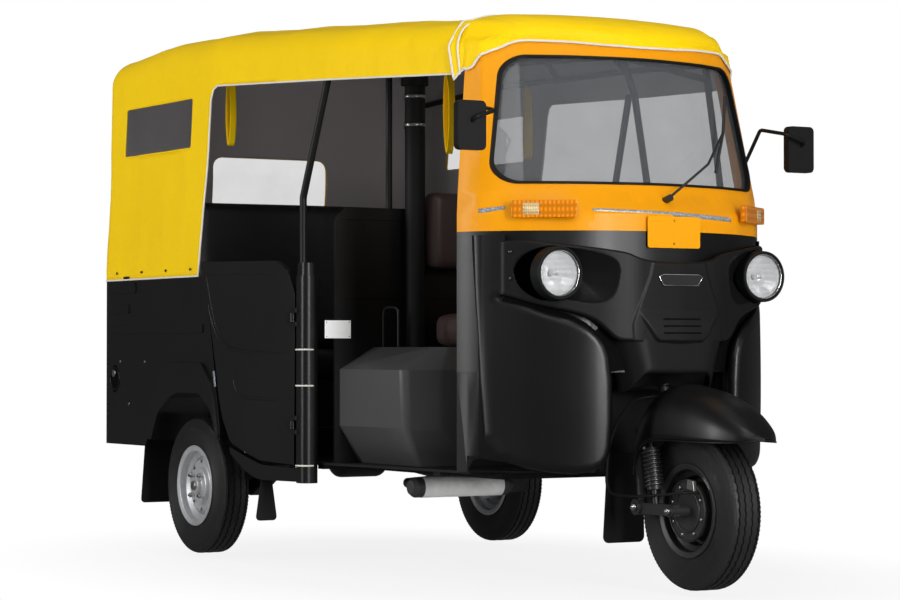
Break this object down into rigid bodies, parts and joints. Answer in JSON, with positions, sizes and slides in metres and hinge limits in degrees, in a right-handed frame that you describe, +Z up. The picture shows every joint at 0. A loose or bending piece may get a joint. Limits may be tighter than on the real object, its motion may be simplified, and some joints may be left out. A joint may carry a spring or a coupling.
{
  "type": "auto rickshaw",
  "caption": "Three-wheeled auto rickshaw with a closed nose, bowed windscreen, cloth canopy, side doors, bench seat and a sprung front fork",
  "frame": {"origin": "on the ground, under the middle of the bounding box", "axes": "+Z up, +Y towards the rear, +X towards the vehicle's left side"},
  "size_m": [1.4072, 3.233, 1.852],
  "materials": {
    "amber_lens": "amber",
    "black_cover": "leathercloth",
    "black_paint": "satin paint",
    "black_plastic": "satin black",
    "black_rim": "semi-gloss paint",
    "black_rubber": "matt",
    "bright_bowl": "bright",
    "bright_steel": "bare steel",
    "clear_glass": "clear",
    "grey_plastic": "moulded",
    "lamp_glass": "clear",
    "maroon_cover": "leathercloth",
    "mirror_face": "mirror",
    "orange_paint": "gloss paint",
    "red_lens": "red",
    "silver_rim": "silver paint",
    "smoked_film": "smoked film",
    "tyre": "moulded rubber",
    "yellow_cloth": "coated cloth"
  },
  "bodies": {
    "chassis": {"air_intake": "black_rubber", "cab_surround": "orange_paint", "canopy": "yellow_cloth", "canopy_windows": "smoked_film", "chassis_frame": "black_paint", "corner_posts": "black_paint", "driver_seat_back": "maroon_cover", "driver_seat_cushion": "maroon_cover", "engine_block": "black_paint", "engine_cover": "grey_plastic", "floor_pan": "black_paint", "front_cowl": "black_plastic", "front_hood": "yellow_cloth", "front_indicators": "amber_lens", "front_mudflap": "black_rubber", "front_plate": "orange_paint", "grab_straps": "yellow_cloth", "head_tube": "black_paint", "headlamp_bowls": "bright_bowl", "headlamp_lenses": "lamp_glass", "headlamp_mask": "black_plastic", "mirror_glass": "mirror_face", "mirrors": "black_plastic", "partition": "black_paint", "rear_axle": "black_paint", "rear_mudflaps": "black_rubber", "rear_seat_back": "black_cover", "rear_seat_base": "black_paint", "rear_seat_cushion": "black_cover", "roof_frame": "black_paint", "side_sills": "black_paint", "side_tubes": "black_paint", "silencer": "bright_steel", "tail_lamps": "red_lens", "tub_rear": "black_paint", "tub_side_left": "black_paint", "tub_side_right": "black_paint", "wheel_arches": "black_paint", "windscreen_glass": "clear_glass", "windscreen_seal": "black_rubber", "wiper": "black_plastic"},
    "steering": {"front_fork": "black_paint", "front_mudguard": "black_plastic", "brake_hose": "black_rubber"},
    "front_wheel": {"front_tyre": "tyre", "front_rim": "black_rim"},
    "rear_wheel_right": {"rear_right_tyre": "tyre", "rear_right_rim": "silver_rim"},
    "rear_wheel_left": {"rear_left_tyre": "tyre", "rear_left_rim": "silver_rim"},
    "door_right": {"door_right": "black_paint"},
    "door_left": {"door_left": "black_paint"}
  },
  "joints": [
    {"name": "steering_hinge", "type": "hinge", "parent": "chassis", "child": "steering", "pos_m": [0, -1.089, 0.625], "axis": [0, 0.3723, 0.9281], "range_deg": [-30, 30]},
    {"name": "front_wheel_spin", "type": "hinge", "parent": "steering", "child": "front_wheel", "pos_m": [0, -1.288, 0.239], "axis": [1, 0, 0], "continuous": true},
    {"name": "rear_wheel_right_spin", "type": "hinge", "parent": "chassis", "child": "rear_wheel_right", "pos_m": [-0.607, 0.839, 0.239], "axis": [1, 0, 0], "continuous": true},
    {"name": "rear_wheel_left_spin", "type": "hinge", "parent": "chassis", "child": "rear_wheel_left", "pos_m": [0.607, 0.839, 0.239], "axis": [1, 0, 0], "continuous": true},
    {"name": "door_right_hinge", "type": "hinge", "parent": "chassis", "child": "door_right", "pos_m": [-0.65436, 0.096, 0.6], "axis": [0, 0, 1], "range_deg": [0, 75]},
    {"name": "door_left_hinge", "type": "hinge", "parent": "chassis", "child": "door_left", "pos_m": [0.65436, 0.096, 0.6], "axis": [0, 0, 1], "range_deg": [-75, 0]}
  ]
}
